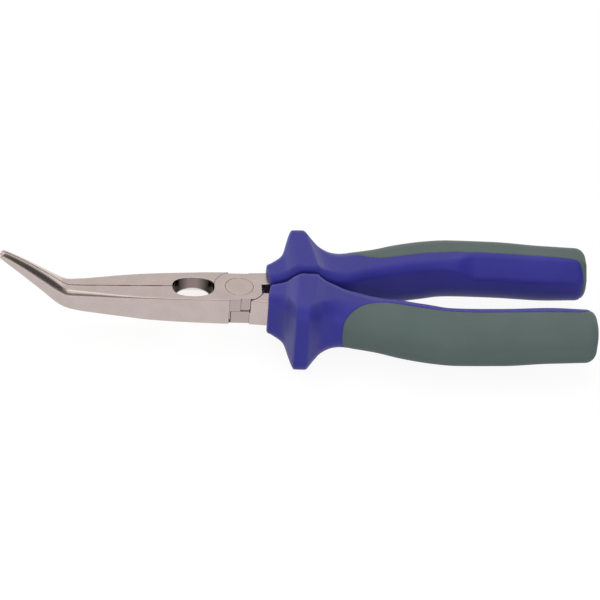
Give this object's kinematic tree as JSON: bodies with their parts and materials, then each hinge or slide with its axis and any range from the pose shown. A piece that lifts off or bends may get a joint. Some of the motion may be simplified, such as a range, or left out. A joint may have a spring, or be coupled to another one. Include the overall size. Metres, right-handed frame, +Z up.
{
  "type": "bent-nose long-nose pliers",
  "caption": "Long-nose pliers with the tips of the jaws bent up, an oval pipe-grip hole behind them, a riveted lap joint, and two-tone moulded grips with hand guards.",
  "frame": {"origin": "centre of the bottom of the closed tool's box, on the plane of the guards' flat undersides, halfway between the tips and the ends of the handles", "axes": "+X from the jaw tips to the handle ends, +Y to the right-hand jaw as the user looks along the jaws with +Z up, +Z up, the way the tips are bent; the joint axis is along Z"},
  "size_m": [0.2, 0.0558, 0.031],
  "materials": {
    "jaw_steel": "satin nickel-plated tool steel, finely ground faces",
    "rivet_steel": "flush ground steel rivet",
    "grip_blue": "satin royal-blue moulded plastic",
    "grip_grey": "matt grey-green soft overmould, very fine texture"
  },
  "bodies": {
    "fixed_lever": {"left_jaw_lever": "jaw_steel", "pivot_rivet": "rivet_steel", "right_grip_sleeve": "grip_blue", "right_grip_overmould": "grip_grey"},
    "moving_lever": {"right_jaw_lever": "jaw_steel", "left_grip_sleeve": "grip_blue", "left_grip_overmould": "grip_grey"}
  },
  "joints": [
    {"name": "pivot", "type": "hinge", "parent": "fixed_lever", "child": "moving_lever", "pos_m": [-0.0197, 0, 0.0133], "axis": [0, 0, -1], "range_deg": [0, 44]}
  ]
}
